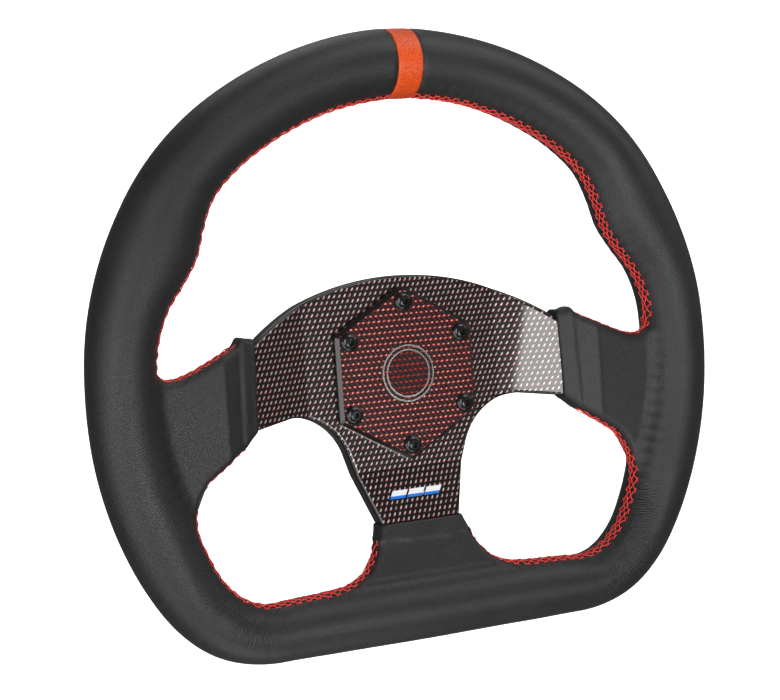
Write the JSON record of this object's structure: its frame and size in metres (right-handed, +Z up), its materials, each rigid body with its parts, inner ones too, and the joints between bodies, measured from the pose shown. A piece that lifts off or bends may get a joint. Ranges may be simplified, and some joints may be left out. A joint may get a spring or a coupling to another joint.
{
  "type": "racing steering wheel",
  "caption": "Flat-bottomed racing steering wheel with a leather grip, a bent three-armed centre, a bolted hexagonal hub plate and a contrasting centre mark.",
  "frame": {"origin": "centre of the bolt circle, on the rear face of the hub", "axes": "+Y out of the back of the hub, along the steering axis towards the column; +Z up through the centre mark; the driver looks along +Y"},
  "size_m": [0.3304, 0.0446, 0.2941],
  "materials": {
    "aluminium_rod": "mill finish rod",
    "aluminium_plate": "mill finish",
    "foam": "self-skinned polyurethane foam",
    "black_leather": "soft satin, fine grain",
    "orange_leather": "satin",
    "red_thread": "waxed polyester thread",
    "hub_carbon": "glossy clear coat over a fine twill weave, silver and dark red",
    "plate_carbon": "glossy clear coat over a fine plain weave, black and red",
    "badge_metal": "brushed dark chrome",
    "badge_dark": "translucent dark red",
    "decal_ink": "printed, white and blue",
    "black_screw": "black oxide"
  },
  "bodies": {
    "root": {"rim_core": "aluminium_rod", "spoke_frame": "aluminium_plate", "foam_grip": "foam", "arm_pad_right": "foam", "arm_pad_left": "foam", "arm_pad_lower": "foam", "rim_leather": "black_leather", "arm_leather_right": "black_leather", "arm_leather_left": "black_leather", "arm_leather_lower": "black_leather", "centre_mark_band": "orange_leather", "stitch_upper": "red_thread", "stitch_lower_right": "red_thread", "stitch_lower_left": "red_thread", "carbon_front_cover": "hub_carbon", "carbon_rear_cover": "hub_carbon", "hex_plate": "plate_carbon", "badge_ring": "badge_metal", "badge_disc": "badge_dark", "arm_decal": "decal_ink", "hub_screw_1": "black_screw", "hub_screw_2": "black_screw", "hub_screw_3": "black_screw", "hub_screw_4": "black_screw", "hub_screw_5": "black_screw", "hub_screw_6": "black_screw"}
  },
  "joints": []
}
